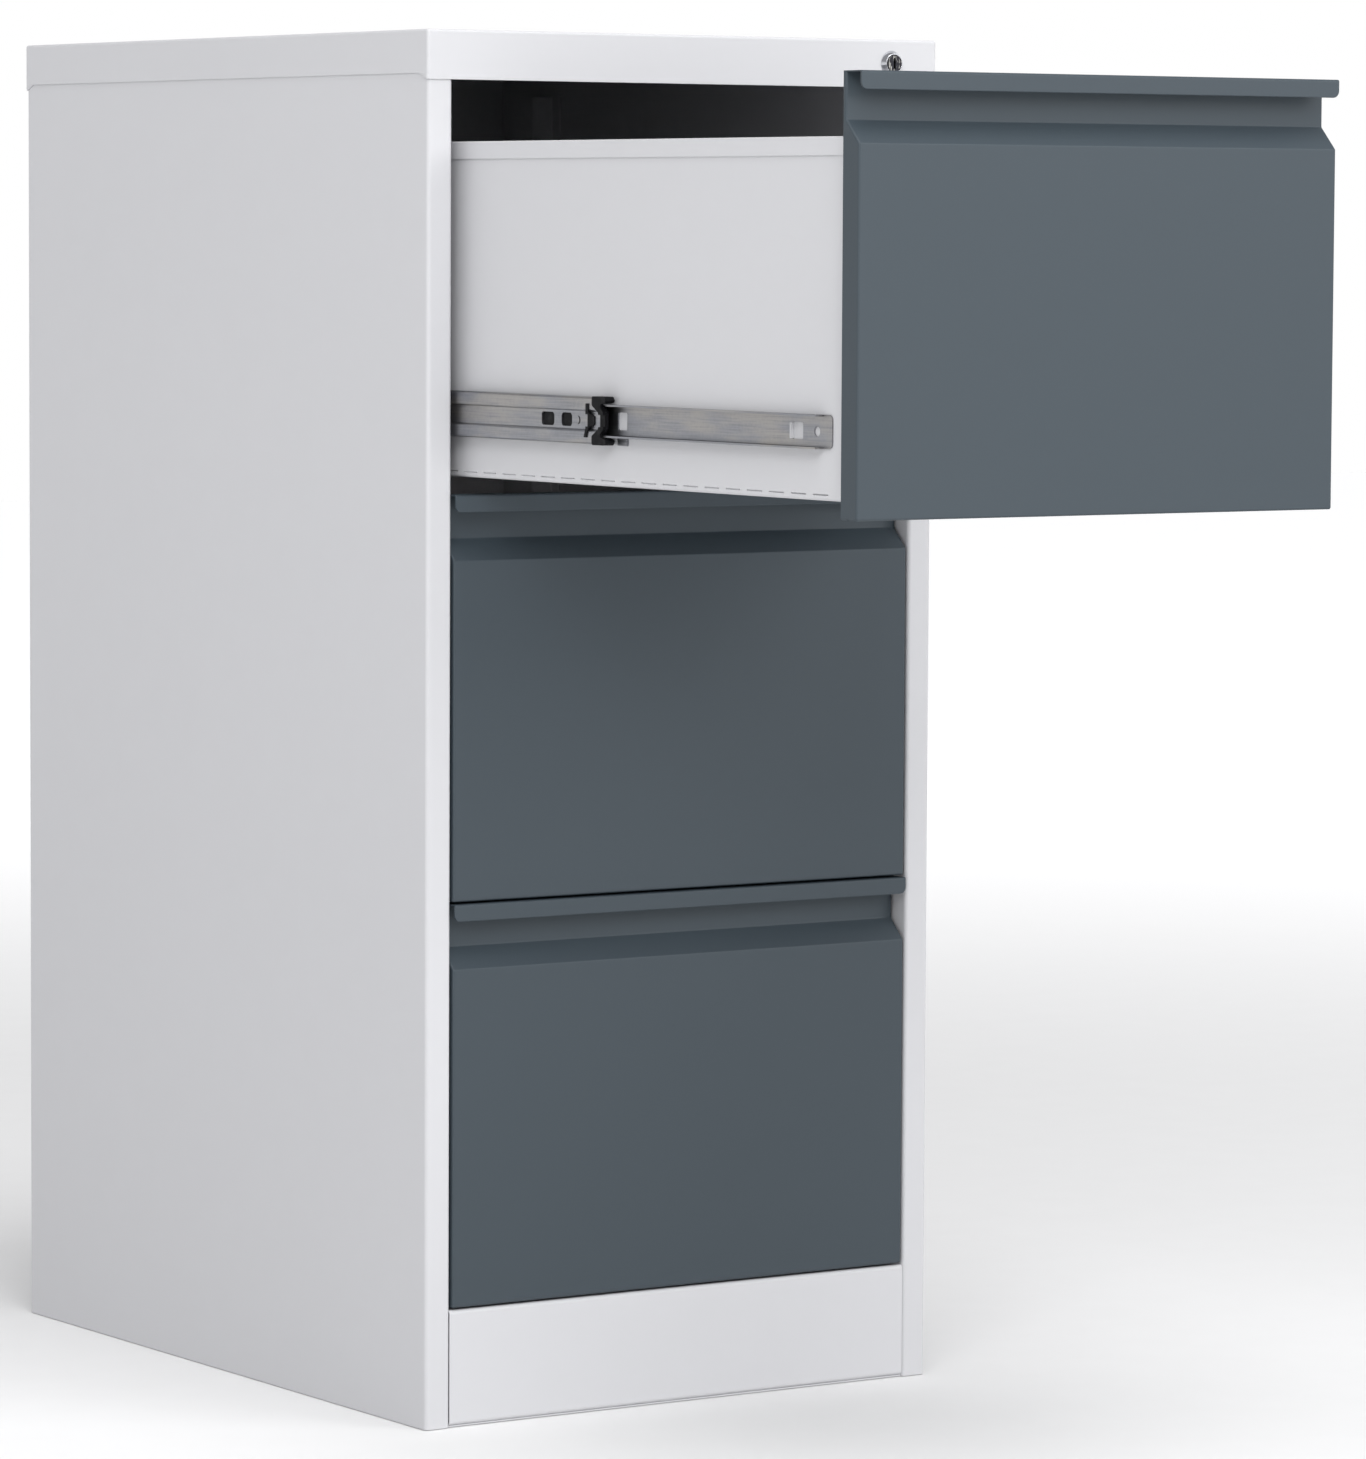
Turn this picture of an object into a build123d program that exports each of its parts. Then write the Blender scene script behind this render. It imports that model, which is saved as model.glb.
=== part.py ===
from build123d import *
from math import atan, cos, radians, sin, tan
import os

os.makedirs("parts", exist_ok=True)

# A three-drawer filing cabinet of folded sheet steel, with its top drawer pulled open.
# The origin is on the floor under the middle of the body: X to the right, Y to the back, Z up.
# Each drawer is drawn closed and is then moved out to where it stands at rest.

# Carcass
body_width = 452.0
body_depth = 620.0
body_height = 1028.0
skin = 0.8  # gauge of the side, back, plinth and cover sheets
skin_bend = 2.2  # inside radius of the bends that show
post_width = 21.0  # front flange of a side panel, seen beside the drawers
post_return = 20.0  # how far that flange folds back into the cabinet
rear_flange = 20.0
seam = 0.15  # gap at a butt joint between two sheets of the carcass
past = 1.0  # how far a cutter runs past the sheet it cuts

# Cover, with a deeper fold at the front than at the sides
cover_play = 0.2  # between the cover and the panels under it
cover_front_drop = 36.1
cover_side_drop = 31.6
cover_corner_run = 10.0  # length of the slope where a side fold meets the front or rear fold
cover_corner = 2.4
cover_edge = 2.0

# Bottom panel, plinth, header and back panel
bottom_gauge = 1.2
bottom_upstand = 25.0
plinth_height = 87.2
plinth_setback = 0.6
plinth_flange = 32.0
header_flange = 36.0
header_lift = 0.6  # header's underside above the cover's front fold

# Uprights that carry the runners
upright_gauge = 1.2
upright_width = 30.0
upright_foot = 12.0
upright_bend = 1.0
front_upright_setback = 48.0  # body front to the upright's front wall
rear_upright_inset = 41.0  # middle of the rear upright to the channel's rear end

# Drawer fronts: a face, a sloped finger recess and a lip hanging in front of it
drawer_names = ["bottom", "middle", "top"]
front_gap = 1.7  # above, below and between the fronts
front_side_gap = 2.0
front_depth = 18.5  # face to the rear edge of the side flanges
front_bend = 1.6  # outside radius round the face
lip_proud = 2.6
lip_height = 12.6
lip_corner = 5.0
hem_edge = 0.7  # rounding of the hem's two lower edges
recess_depth = 15.4
recess_wall = 20.0  # straight wall of the recess below the lip's underside
recess_slope = 15.6
relief_radius = 1.2  # corner relief where bottom and side flange meet
liner_flange = 9.0
liner_play = 0.2

# Drawer boxes
box_margin = 0.5  # rear end of the runner's drawer member to the rear of the box
box_side = 244.5
box_lift = 11.5  # underside of the box above the lower edge of the front
box_bend = 1.2
rim_height = 12.6
rim_proud = 1.2
back_height = 205.0
back_flange = 12.0
back_play = 0.1
slot_length = 18.3  # bend slots along the lower fold of the sides
slot_pitch = 26.4
slot_height = 1.0
slot_lift = 3.4
slot_end = 30.0  # front of the box to the first slot

# Runners: cabinet channel, link and drawer channel, nested in each other, with balls between
runner_space = 12.7
runner_gauge = 1.2
runner_bend = 0.6
runner_lift = 58.0  # middle of the runner above the lower edge of the front
channel_setback = 48.0  # body front to the cabinet channel
channel_rear_gap = 22.0  # cabinet channel to the body's back
channel_tip = 3.5  # drawer side to the edge of the cabinet channel's flanges
link_shortening = 10.0  # how much shorter the link is than the cabinet channel
link_setback = 62.0
link_height = 33.4
link_tip = 3.0
link_groove = 12.8  # height of the sunk middle band of the link
link_groove_depth = 1.8
link_play = 1.4  # cabinet channel's web to the link
slider_setback = 43.0
slider_height = 23.2
slider_flange = 8.3
ball_radius = 2.25
race_play = 0.2
race_depth = 0.5  # how deep each groove sinks into its flange
balls_in_row = 6
ball_pitch = 34.0
cage_thickness = 0.8
cage_width = 5.4
cage_end = 15.0  # last ball to the end of the cage
cage_hole_play = 0.1
cage_margin = 10.5  # link's front end to the inner cages when fully open

# Travel
top_opening = 512.0  # the top drawer's place at rest

# Holes in the runners
access_hole_height = 9.6
access_hole_corner = 2.9
access_holes = [(38.0, 14.0), (61.5, 17.0)]  # link's front end to the hole, and its length
crescent_setback = 30.0
crescent_radius = 3.0
slider_end_flat = 9.7  # front stretch of the slider without flanges
slider_corner = 4.0
slider_hole_setback = 17.5
slider_hole_radius = 3.5
lance_setback = 34.0
lance_length = 13.5
lance_height = 11.4
lance_tab = 2.0  # how far the drawer side's tab stands out of the slider's front window
lance_play = 0.3
window_setback = 252.0
window_length = 12.0
window_height = 12.6
window_corner = 1.4
lug_length = 12.5
lug_drop = 5.6

# Bumper and hold-in lever at the front end of each link
bumper_front = 9.5  # how far it stands past the link
bumper_back = 8.5
bumper_skin = 0.8
bumper_waist = 6.5
bumper_half_height = 17.2
bumper_play = 0.5
bumper_chamfer = 2.0
bumper_ear = 4.0  # height of the ear at the front corner
bumper_step = 7.0  # how far the front steps back between the ears
bumper_round = 1.6
lever_setback = 15.0
lever_width = 3.2
lever_bulge = 5.6
lever_half_height = 12.0
lever_round = 0.5
arm_margin = 4.0  # from the link's access holes to the ends of the lever's arm
arm_gauge = 1.2
arm_half_height = 6.2

# Fasteners
screw_radius = 2.0
screw_length = 7.0
screw_head_radius = 3.8
screw_head_height = 2.0
screw_dome = 1.2
screw_cross = 0.8  # width of the recess's arms
screw_play = 0.1
rivet_radius = 2.0
rivet_head_radius = 3.4
rivet_head_height = 0.9
rivet_dome = 0.7
rivet_tail_radius = 2.7
front_rivet_setback = 300.0  # slider's front end to its first rivet
rear_rivet_inset = 70.0  # slider's rear end to its last rivet
back_rivet_rows = 5
back_rivet_end = 60.0
cover_screw_places = [-150.0, 0.0, 150.0]

# Lock: a plug with an eccentric pin lifts a bar, and its hooks then stand in front of the drawers' catches
lock_inset = 20.0  # opening's right edge to the lock
barrel_radius = 9.0
barrel_length = 20.0
barrel_play = 0.1
bezel_radius = 9.8
bezel_front_radius = 7.4
bezel_height = 4.0
plug_radius = 6.5
plug_play = 0.06
plug_proud = 0.3
keyway_width = 1.8
keyway_height = 8.4
keyway_depth = 14.0
cam_shank = 6.0
cam_gauge = 1.8
cam_radius = 10.8
cam_gap = 0.3  # barrel's rear end to the cam
pin_radius = 2.0
bar_lift = 12.0
nut_width = 23.0
nut_height = 3.2
bar_gauge = 2.0
bar_gap = 1.0  # cam to the lock bar
bar_width = 12.0
bar_inset = 3.0  # opening's edge to the lock bar
bar_slot_play = 0.5
bar_slot_end = 0.8
flag_half_height = 8.0
hook_reach = 11.0
hook_height = 9.0
guide_height = 12.0
guide_wall = 2.7
guide_play = 0.3
guide_lift = 180.0
catch_gauge = 1.2
catch_height = 8.0
catch_lift = 100.0
catch_reach = 11.1  # drawer side to the free end, which faces the hook
catch_base = 24.0
catch_gap = 1.2  # hook to the catch
catch_step = 3.5  # free height between hook and catch when unlocked

# Places that several pieces share
body_half = body_width / 2
front_plane = -body_depth / 2
rear_plane = body_depth / 2
opening_half = body_half - post_width
opening_top = body_height - cover_front_drop
front_half = opening_half - front_side_gap
front_pitch = (opening_top - plinth_height - front_gap) / len(drawer_names)
front_height = front_pitch - front_gap
front_bottoms = [plinth_height + front_gap + row * front_pitch for row in range(len(drawer_names))]
openings = [0.0, 0.0, top_opening]
channel_length = body_depth - channel_setback - channel_rear_gap
link_length = channel_length - link_shortening
slider_length = channel_length
full_travel = channel_length
rivet_places = [front_rivet_setback, slider_length - rear_rivet_inset]
box_half = opening_half - runner_space
box_front = front_plane + front_depth
box_length = slider_setback - front_depth + slider_length + box_margin
crease = front_height - lip_height - recess_wall - recess_slope
link_outer = runner_space - runner_gauge - link_play
link_front = front_plane + link_setback
link_sunk = link_outer - link_groove_depth
slider_front = front_plane + slider_setback
lance_back = slider_front + lance_setback + lance_length - lance_play
outer_ball_line = (channel_tip + link_outer - runner_gauge) / 2
inner_ball_line = (link_tip + slider_flange) / 2
slider_half_height = slider_height / 2
link_half_height = link_height / 2
race_gap = 2 * (ball_radius + race_play - race_depth)
channel_half_height = link_half_height + race_gap + runner_gauge
outer_row_height = link_half_height + race_gap / 2
inner_row_height = slider_half_height + race_gap / 2
cage_front = link_front + full_travel / 4 + cage_margin
front_upright_wall = front_plane + front_upright_setback
channel_rear = front_plane + channel_setback + channel_length
rear_upright_wall = channel_rear - rear_upright_inset - upright_width / 2
runner_screw_places = [wall + upright_width / 2 for wall in (front_upright_wall, rear_upright_wall)]
back_rivet_x = body_half - rear_flange / 2
lock_x = opening_half - lock_inset
lock_z = body_height - cover_front_drop / 2
cover_face = front_plane - cover_play - skin
cam_front = cover_face + barrel_length + cam_gap
cam_rear = cam_front + cam_gauge
bar_front = cam_rear + bar_gap
bar_rear = bar_front + bar_gauge
tab_rear = bar_rear + bar_gauge
pin_height = lock_z - bar_lift / 2
pin_offset = bar_lift / 2 / sin(radians(45))
bar_left = opening_half + bar_inset


def fold(points, gauge, inside):
    """Section of a bent sheet. The points run along one face, and the sheet lies to their left."""
    radii = []
    for before, bend, after in zip(points, points[1:], points[2:]):
        run = (bend[0] - before[0], bend[1] - before[1])
        turn = run[0] * (after[1] - bend[1]) - run[1] * (after[0] - bend[0])
        radii.append(inside + gauge if turn > 0 else inside)
    line = FilletPolyline(*points, radius=radii)
    return make_face(Wire(line.edges()).offset_2d(gauge, kind=Kind.TANGENT, side=Side.LEFT))


def outline(points):
    """Flat face inside a closed run of straight edges."""
    return make_face(Polyline(*points, close=True))


def along_x(section, left, right):
    """Extrude a section drawn in Y and Z between two places on X."""
    return Pos(left, 0, 0) * extrude(Plane.YZ * section, amount=right - left)


def along_y(section, front, back):
    """Extrude a section drawn in X and Z between two places on Y."""
    return Pos(0, back, 0) * extrude(Plane.XZ * section, amount=back - front)


def along_z(section, bottom, top):
    """Extrude a section drawn in X and Y between two heights."""
    return Pos(0, 0, bottom) * extrude(section, amount=top - bottom)


def block(x, y, z):
    """Block between the lower and upper values of X, Y and Z."""
    sizes = [upper - lower for lower, upper in (x, y, z)]
    middle = [(upper + lower) / 2 for lower, upper in (x, y, z)]
    return Pos(*middle) * Box(*sizes)


def rod_x(y, z, radius, left, right):
    """Round rod along X."""
    return Pos((left + right) / 2, y, z) * Rot(0, 90, 0) * Cylinder(radius, right - left)


def rod_y(x, z, radius, front, back):
    """Round rod along Y."""
    return Pos(x, (front + back) / 2, z) * Rot(90, 0, 0) * Cylinder(radius, back - front)


def both_sides(piece):
    """The piece and its mirror image on the other side of the cabinet."""
    return [piece, mirror(piece, about=Plane.YZ)]


def write(name, pieces, moved=0.0):
    """Write one node, moved forward by the given distance."""
    placed = [Pos(0, -moved, 0) * piece for piece in pieces]
    node = placed[0] if len(placed) == 1 else Compound(children=placed)
    export_step(node, f"parts/{name}.step")


def side_panel():
    """Right side: outer skin, front flange with its return, and rear flange, in one folded sheet."""
    section = fold(
        [
            (opening_half, front_plane + post_return),
            (opening_half, front_plane),
            (body_half, front_plane),
            (body_half, rear_plane),
            (body_half - rear_flange, rear_plane),
        ],
        skin,
        skin_bend,
    )
    panel = along_z(section, 0, body_height - skin)
    for height in back_rivet_heights():
        panel -= rod_y(back_rivet_x, height, rivet_radius, rear_plane - 2 * skin, rear_plane + skin)
    return panel


def back_rivet_heights():
    """Heights of the rivets that hold the back panel, evenly spaced."""
    step = (opening_top - 2 * back_rivet_end) / (back_rivet_rows - 1)
    return [back_rivet_end + row * step for row in range(back_rivet_rows)]


def back_panel():
    """Flat sheet against the inner faces of the rear flanges."""
    half = body_half - skin - skin_bend - seam
    front = rear_plane - 2 * skin
    panel = block((-half, half), (front, rear_plane - skin), (bottom_gauge, body_height - skin))
    for height in back_rivet_heights():
        for hole in both_sides(rod_y(back_rivet_x, height, rivet_radius, front - past, rear_plane)):
            panel -= hole
    for place in cover_screw_places:
        panel -= rod_y(place, lock_z, screw_radius, front - past, rear_plane)
    return panel


def back_rivets():
    """Domed rivets through the rear flanges and the back panel."""
    rivets = []
    for height in back_rivet_heights():
        head = rod_y(back_rivet_x, height, rivet_head_radius, rear_plane, rear_plane + rivet_head_height)
        head = fillet(head.edges().sort_by(Axis.Y)[-1], rivet_dome)
        inside = rear_plane - 2 * skin
        shank = rod_y(back_rivet_x, height, rivet_radius, inside, rear_plane)
        tail = rod_y(back_rivet_x, height, rivet_tail_radius, inside - rivet_head_height, inside)
        rivets += both_sides(head + shank + tail)
    return rivets


def top_cover():
    """Lid over the panels: a flat top with four folds, the side folds cut shorter between their corners."""
    half = body_half + cover_play + skin
    depth = rear_plane + cover_play + skin
    foot = body_height - cover_front_drop
    lid = block((-half, half), (-depth, depth), (foot, body_height))
    lid = fillet(lid.edges().filter_by(Axis.Z), cover_corner)
    lid = fillet(lid.faces().sort_by(Axis.Z)[-1].edges(), cover_edge)
    inner_half = half - skin
    inner_depth = depth - skin
    hollow = block((-inner_half, inner_half), (-inner_depth, inner_depth), (foot - past, body_height - skin))
    lid -= fillet(hollow.edges().filter_by(Axis.Z), cover_corner - skin)
    side_foot = body_height - cover_side_drop
    cut = outline(
        [
            (cover_corner - depth, foot),
            (cover_corner + cover_corner_run - depth, side_foot),
            (depth - cover_corner - cover_corner_run, side_foot),
            (depth - cover_corner, foot),
        ]
    )
    lid -= along_x(cut, -half - skin, half + skin)
    lid -= rod_y(lock_x, lock_z, barrel_radius + barrel_play, -depth - skin, skin - depth + skin)
    for place in cover_screw_places:
        lid -= rod_y(place, lock_z, screw_radius + screw_play, depth - 2 * skin, depth + skin)
    return lid


def cover_screws():
    """Pan-head screws through the rear fold of the cover into the back panel's head."""
    face = rear_plane + cover_play + skin
    screw = Rot(-90, 0, 0) * pan_screw(screw_length / 2)
    return [Pos(place, face, lock_z) * screw for place in cover_screw_places]


def pan_screw(length):
    """Pan-head screw: the head stands on Z = 0 and the shank points down, with a cross recess."""
    head = Pos(0, 0, screw_head_height / 2) * Cylinder(screw_head_radius, screw_head_height)
    head = fillet(head.edges().sort_by(Axis.Z)[-1], screw_dome)
    shank = Pos(0, 0, -length / 2) * Cylinder(screw_radius, length)
    screw = head + shank
    for turn in (0, 90):
        arm = Box(screw_head_radius, screw_cross, screw_head_height)
        screw -= Pos(0, 0, screw_head_height) * Rot(0, 0, turn) * arm
    return screw


def front_header():
    """Channel across the front under the cover, open to the back, which holds the lock."""
    half = opening_half - seam
    back = front_plane + header_flange
    top = body_height - skin
    section = fold(
        [
            (back, top),
            (front_plane, top),
            (front_plane, opening_top + header_lift),
            (back, opening_top + header_lift),
        ],
        skin,
        skin_bend,
    )
    hole = rod_y(lock_x, lock_z, barrel_radius + barrel_play, front_plane - skin, front_plane + 2 * skin)
    return along_x(section, -half, half) - hole


def plinth():
    """Folded front board below the drawers, standing on the bottom panel between the posts."""
    half = opening_half - seam
    face = front_plane + plinth_setback
    section = fold(
        [
            (face + plinth_flange, plinth_height),
            (face, plinth_height),
            (face, bottom_gauge),
            (face + plinth_flange, bottom_gauge),
        ],
        skin,
        skin_bend,
    )
    return along_x(section, -half, half)


def bottom_panel():
    """Flat floor sheet with upstands at the sides and back, cut back round the front posts."""
    half = body_half - skin - seam
    back = rear_plane - 2 * skin - seam
    post_back = front_plane + post_return + seam
    points = [(-half, bottom_upstand), (-half, 0), (half, 0), (half, bottom_upstand)]
    panel = along_y(fold(points, bottom_gauge, skin_bend), post_back, rear_plane - skin - skin_bend - seam)
    tongue_front = front_plane + plinth_setback + 2 * skin
    tongue = block((seam - opening_half, opening_half - seam), (tongue_front, post_back), (0, bottom_gauge))
    flat_half = half - skin_bend - bottom_gauge
    strip = block((-flat_half, flat_half), (rear_plane - 2 * skin_bend, back), (0, bottom_gauge))
    upstand = block((-flat_half, flat_half), (back - bottom_gauge, back), (0, bottom_upstand))
    return panel + tongue + strip + upstand


def upright(front_wall):
    """Hat-shaped post on the inner face of the side panel, with a hole for each runner screw."""
    skin_face = body_half - skin
    face = opening_half + upright_gauge
    rear_wall = front_wall + upright_width
    section = fold(
        [
            (skin_face, front_wall - upright_foot),
            (skin_face, front_wall),
            (face, front_wall),
            (face, rear_wall),
            (skin_face, rear_wall),
            (skin_face, rear_wall + upright_foot),
        ],
        upright_gauge,
        upright_bend,
    )
    post = along_z(section, bottom_upstand + seam, opening_top)
    middle = front_wall + upright_width / 2
    hole_radius = screw_radius + screw_play
    for bottom in front_bottoms:
        post -= rod_x(middle, bottom + runner_lift, hole_radius, opening_half - past, face + past)
    return post


def uprights():
    """Front and rear posts on both sides."""
    posts = []
    for wall in (front_upright_wall, rear_upright_wall):
        posts += both_sides(upright(wall))
    return posts


def race_groove(line, height, front, back):
    """Round grooves above and below the runner's middle, for one pair of ball rows."""
    radius = ball_radius + race_play
    return [rod_y(box_half + line, side * height, radius, front, back) for side in (-1, 1)]


def runner_channel(middle):
    """Cabinet member: a channel open to the drawer, screwed to the uprights."""
    right = box_half + runner_space
    left = box_half + channel_tip
    tall = channel_half_height
    section = fold([(left, -tall), (right, -tall), (right, tall), (left, tall)], runner_gauge, runner_bend)
    front = front_plane + channel_setback
    back = channel_rear
    channel = along_y(section, front, back)
    for groove in race_groove(outer_ball_line, outer_row_height, front - past, back + past):
        channel -= groove
    for place in runner_screw_places:
        channel -= rod_x(place, 0, screw_radius + screw_play, right - runner_gauge - past, right + past)
    return Pos(0, 0, middle) * channel


def runner_screws():
    """Screws that hold the cabinet channels to the uprights."""
    screws = []
    seat = opening_half - runner_gauge
    for bottom in front_bottoms:
        for place in runner_screw_places:
            screw = Pos(seat, place, bottom + runner_lift) * Rot(0, -90, 0) * pan_screw(screw_length)
            screws += both_sides(screw)
    return screws


def link_section():
    """Section of the link: a channel whose middle band is sunk towards the drawer."""
    outer = box_half + link_outer
    sunk = box_half + link_sunk
    tip = box_half + link_tip
    tall = link_half_height
    band = link_groove / 2
    shoulder = band + link_groove_depth / 2
    points = [(tip, -tall), (outer, -tall), (outer, -shoulder), (sunk, -band)]
    points += [(x, -z) for x, z in reversed(points)]
    return fold(points, runner_gauge, runner_bend)


def runner_link(middle):
    """Intermediate member, which carries balls outside and inside."""
    back = link_front + link_length
    link = along_y(link_section(), link_front, back)
    for line, height in ((outer_ball_line, outer_row_height), (inner_ball_line, inner_row_height)):
        for groove in race_groove(line, height, link_front - past, back + past):
            link -= groove
    left = box_half + link_sunk - runner_gauge - past
    right = box_half + link_outer
    tall = access_hole_height / 2
    for setback, length in access_holes:
        start = link_front + setback
        hole = block((left, right), (start, start + length), (-tall, tall))
        link -= fillet(hole.edges().filter_by(Axis.X), access_hole_corner)
    centre = link_front + crescent_setback
    moon = rod_x(centre, 0, crescent_radius, left, right)
    link -= moon - rod_x(centre + crescent_radius / 2, 0, crescent_radius, left - past, right + past)
    return Pos(0, 0, middle) * link


def runner_slider(middle):
    """Drawer member: a narrow channel open to the outside, hooked and riveted to the drawer's side."""
    left = box_half
    right = box_half + slider_flange
    tall = slider_half_height
    section = fold([(right, tall), (left, tall), (left, -tall), (right, -tall)], runner_gauge, runner_bend)
    back = slider_front + slider_length
    slider = along_y(section, slider_front, back)
    for groove in race_groove(inner_ball_line, inner_row_height, slider_front - past, back + past):
        slider -= groove
    web = left + runner_gauge
    flat_back = slider_front + slider_end_flat
    slider -= block((web, right + past), (slider_front - past, flat_back), (-tall - past, tall + past))
    corner = block((left - past, right), (slider_front, flat_back), (-tall, tall))
    rounded = fillet(corner.edges().filter_by(Axis.X).group_by(Axis.Y)[0], slider_corner)
    slider -= corner - rounded
    slider -= rod_x(slider_front + slider_hole_setback, 0, slider_hole_radius, left - past, right + past)
    slider -= opening_in_slider(lance_setback, lance_length, lance_height)
    slider -= opening_in_slider(window_setback, window_length, window_height)
    lug = (slider_front + window_setback, slider_front + window_setback + lug_length)
    slider += block((left, web), lug, (-tall - lug_drop, -tall + runner_gauge))
    for place in rivet_places:
        slider -= rod_x(slider_front + place, 0, rivet_radius, left - past, web + past)
    return Pos(0, 0, middle) * slider


def opening_in_slider(setback, length, height):
    """Rectangular hole with rounded corners through the slider's web."""
    start = slider_front + setback
    through = (box_half - past, box_half + runner_gauge + past)
    hole = block(through, (start, start + length), (-height / 2, height / 2))
    return fillet(hole.edges().filter_by(Axis.X), window_corner)


def rounded_outline(points, radius):
    """Rounded outline in Y and Z from points given as reach ahead of the link's front end, and height."""
    placed = [(link_front - reach, height) for reach, height in points]
    return make_face(FilletPolyline(*placed, radius=radius, close=True))


def bumper_room():
    """What the bumper and the lever keep clear of: the link, the slider and the screw heads behind them."""
    sunk = box_half + link_sunk
    far = box_half + 2 * runner_space
    front = link_front - 2 * bumper_front
    back = link_front + link_length
    head = screw_head_radius + bumper_play
    flange_low = slider_half_height - runner_gauge - bumper_play
    flange_high = slider_half_height + bumper_play
    flange_right = box_half + slider_flange + bumper_play
    room = [block((sunk + bumper_skin, far), (front, back), (-head, head))]
    room += [block((0, sunk - runner_gauge - bumper_skin), (front, back), (-flange_low, flange_low))]
    for side in (-1, 1):
        heights = sorted((side * flange_low, side * flange_high))
        room += [block((0, flange_right), (front, back), heights)]
    return room + [along_y(section, link_front, back) for section in (link_section(), fill_of_link())]


def fill_of_link():
    """The link's section with its inside filled."""
    outer = box_half + link_outer
    band = link_groove / 2
    shoulder = band + link_groove_depth / 2
    points = [(0, -link_half_height), (outer, -link_half_height)]
    points += [(outer, -shoulder), (box_half + link_sunk, -band)]
    points += [(x, -z) for x, z in reversed(points)]
    return outline(points)


def runner_bumper(middle):
    """Plastic bumper over the link's front end, with two ears and a bowed bar, the lever behind it, and
    the lever's arm, which lies inside the link behind its access holes."""
    tall = bumper_half_height
    neck = slider_half_height
    front_side = [
        (bumper_front - bumper_chamfer, tall),
        (bumper_front, tall - bumper_chamfer),
        (bumper_front, tall - bumper_ear),
        (bumper_front - bumper_step, neck),
        (bumper_front - bumper_step, neck - bumper_chamfer),
        (bumper_waist, neck / 2),
    ]
    rear_side = [(0, neck / 2), (-bumper_back, neck - bumper_skin), (-bumper_back, tall)]
    half = front_side + [(reach, -height) for reach, height in reversed(front_side)]
    rear = [(reach, -height) for reach, height in reversed(rear_side)] + rear_side
    right = box_half + link_outer + bumper_skin
    bow = along_x(rounded_outline(half + rear, bumper_round), box_half + link_tip, right)
    strip = lever_width / 2
    lever = [
        (strip - lever_setback, lever_half_height),
        (strip - lever_setback, lever_bulge),
        (strip - lever_setback + lever_bulge, lever_bulge / 2),
        (strip - lever_setback + lever_bulge, -lever_bulge / 2),
        (strip - lever_setback, -lever_bulge),
        (-lever_setback - strip / 2, -lever_half_height),
        (-lever_setback - 5 * strip / 2, -lever_half_height),
        (-lever_setback - strip, -lever_bulge),
        (-lever_setback - strip, lever_half_height),
    ]
    lever = along_x(rounded_outline(lever, lever_round), box_half + link_sunk, right)
    for room in bumper_room():
        bow -= room
        lever -= room
    inside = box_half + link_sunk - runner_gauge
    first, last = access_holes[0], access_holes[-1]
    reach = (link_front + first[0] - arm_margin, link_front + last[0] + last[1] + arm_margin)
    arm = block((inside - arm_gauge, inside), reach, (-arm_half_height, arm_half_height))
    arm = fillet(arm.edges().filter_by(Axis.X), access_hole_corner)
    return [Pos(0, 0, middle) * piece for piece in (bow, lever, arm)]


def ball_places():
    """Y of each ball in a row, with the drawer closed."""
    return [cage_front + cage_end + ball * ball_pitch for ball in range(balls_in_row)]


def ball_cages(line, height, middle):
    """Thin strips that keep the balls of one pair of rows apart."""
    back = ball_places()[-1] + cage_end
    x = box_half + line
    width = (x - cage_width / 2, x + cage_width / 2)
    hole = Cylinder(ball_radius + cage_hole_play, 2 * cage_thickness)
    cages = []
    for row in (middle - height, middle + height):
        strip = block(width, (cage_front, back), (row - cage_thickness / 2, row + cage_thickness / 2))
        for place in ball_places():
            strip -= Pos(x, place, row) * hole
        cages += both_sides(strip)
    return cages


def balls(line, height, middle):
    """Steel balls of one pair of rows, on both sides of the drawer."""
    found = []
    for row in (middle - height, middle + height):
        for place in ball_places():
            found += both_sides(Pos(box_half + line, place, row) * Sphere(ball_radius))
    return found


def front_points(inset):
    """Points of the front's outline in Y and Z, moved into the sheet by the inset. The rear stays open."""
    half_turn = inset * tan(atan(recess_depth / recess_slope) / 2)
    rear = front_depth + inset
    shifted = [
        (rear, inset),
        (inset, inset),
        (inset, crease - half_turn),
        (recess_depth + inset, crease + recess_slope - half_turn),
        (recess_depth + inset, front_height - inset),
        (rear, front_height - inset),
    ]
    return [(front_plane + y, z) for y, z in shifted]


def drawer_front(bottom):
    """Outer front: face, side and bottom flanges and sloped recess, with the lip across its top."""
    shell = along_x(outline(front_points(0)), -front_half, front_half)
    shell = fillet([edge for edge in shell.edges().filter_by(Axis.X) if is_bent(edge)], front_bend)
    ends = shell.faces().filter_by(Axis.X)
    shell = fillet([edge for end in ends for edge in end.edges() if is_bent(edge)], front_bend)
    shell -= along_x(outline(front_points(skin)), skin - front_half, front_half - skin)
    place = box_front - liner_flange + relief_radius
    for notch in both_sides(rod_x(place, 0, relief_radius, front_half - skin, front_half + past)):
        shell -= notch
    return Pos(0, 0, bottom) * (shell + front_lip())


def is_bent(edge):
    """Whether an edge of the front's outline is a bend, and not its open rear or its top."""
    return edge.center().Y < box_front - skin / 4 and edge.center().Z < front_height - skin / 4


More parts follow.
